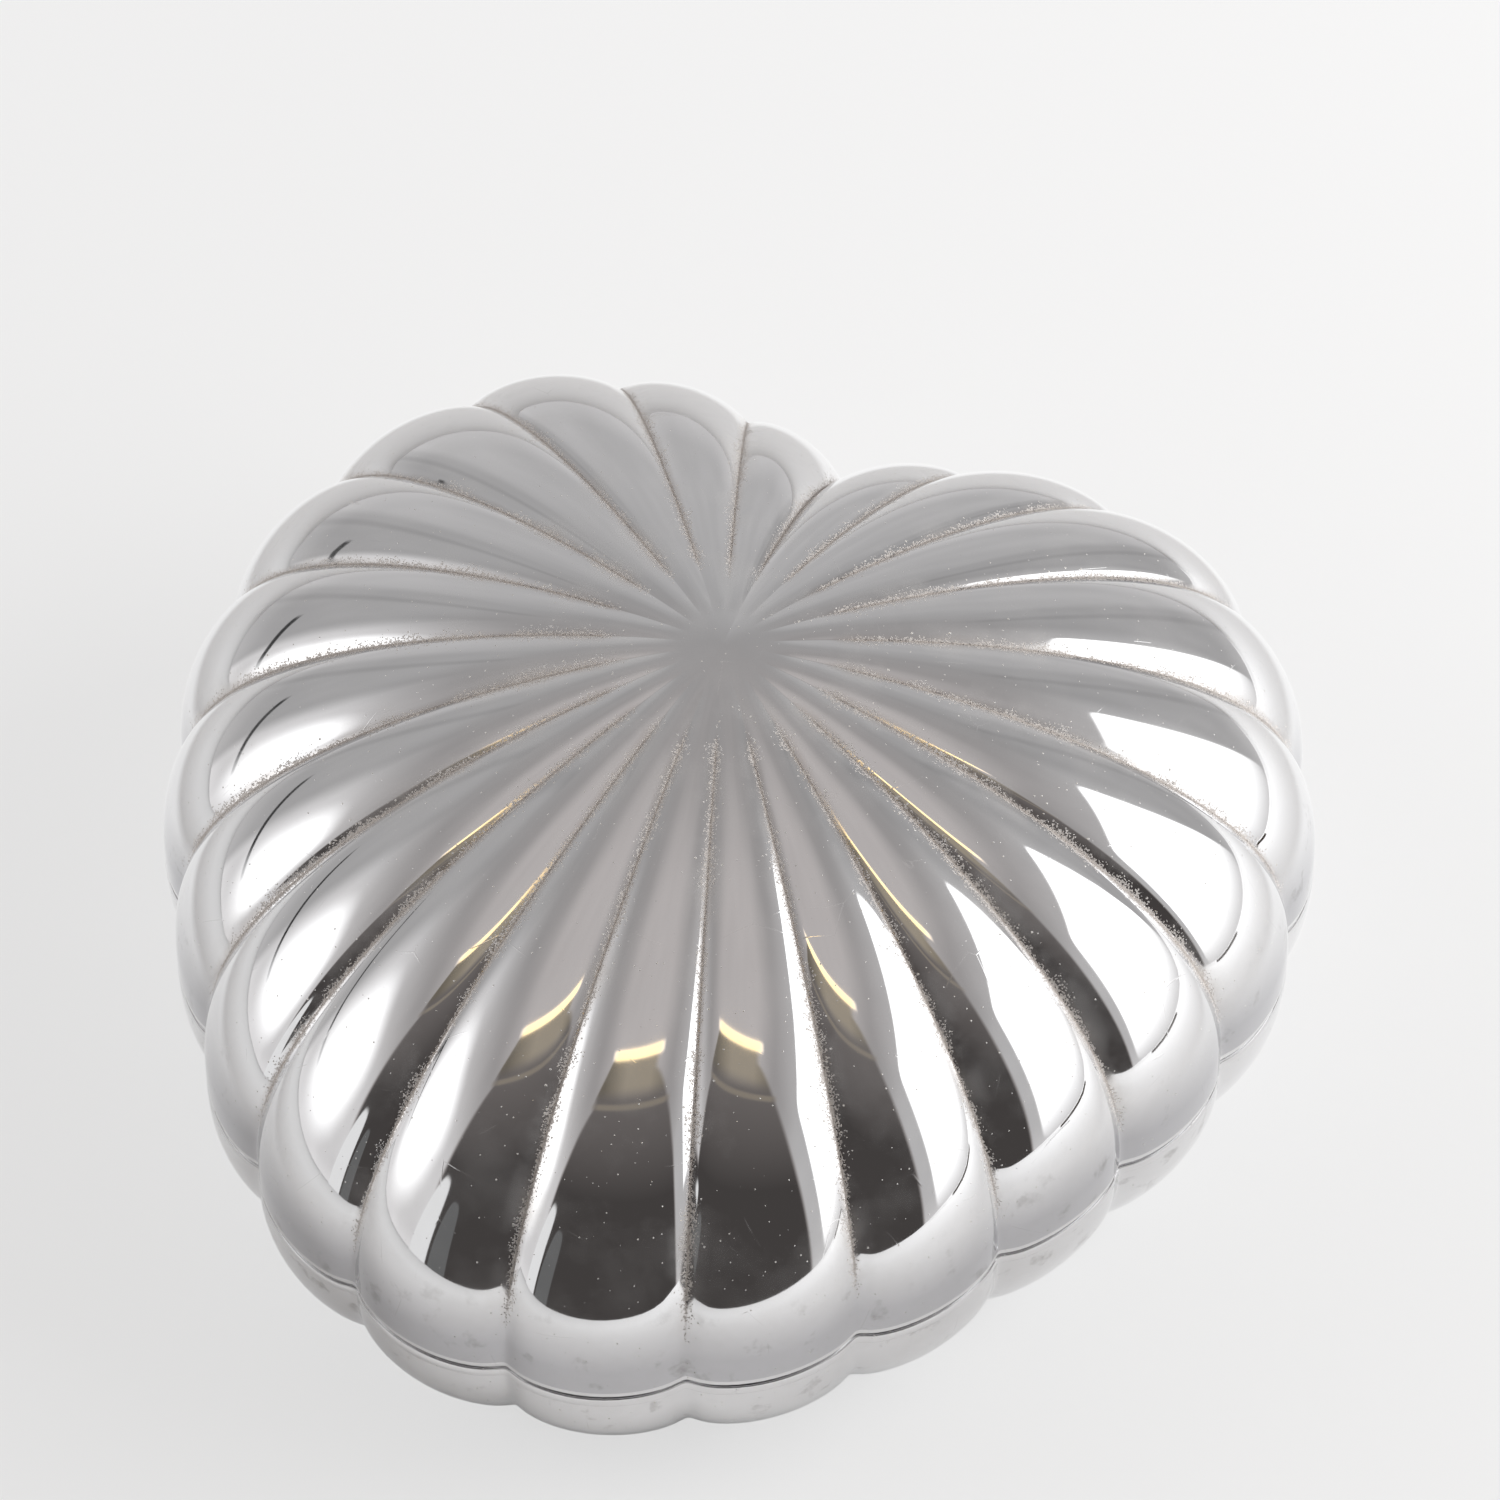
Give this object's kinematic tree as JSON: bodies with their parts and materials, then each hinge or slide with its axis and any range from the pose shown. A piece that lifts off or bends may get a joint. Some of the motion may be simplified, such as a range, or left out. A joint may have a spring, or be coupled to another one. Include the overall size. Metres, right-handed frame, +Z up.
{
  "type": "trinket box",
  "caption": "Heart-shaped trinket box of mirror-bright plated metal with a fluted domed lid hinged behind the cleft, a fluted bowl base and a velvet lining",
  "frame": {"origin": "On the table, at the middle of the felt under the foot, on the vertical line where the flutes meet on the lid", "axes": "+Z up, the tip of the heart along -Y and its cleft and hinge along +Y, X across the two lobes"},
  "size_m": [0.104, 0.1056, 0.0478],
  "materials": {
    "silver_plate": "mirror-polished silver plate, a little tarnished in the grooves",
    "pin_steel": "plain steel wire",
    "velvet": "short-pile velvet",
    "felt": "pressed felt"
  },
  "bodies": {
    "base": {"base_shell": "silver_plate", "base_rim": "silver_plate", "hinge_pin": "pin_steel", "wall_lining": "velvet", "floor_pad": "velvet", "underside_felt": "felt"},
    "lid": {"lid_shell": "silver_plate", "lid_rim": "silver_plate"}
  },
  "joints": [
    {"name": "lid_hinge", "type": "hinge", "parent": "base", "child": "lid", "pos_m": [0, 0.0447, 0.014], "axis": [-1, 0, 0], "range_deg": [0, 95]}
  ]
}
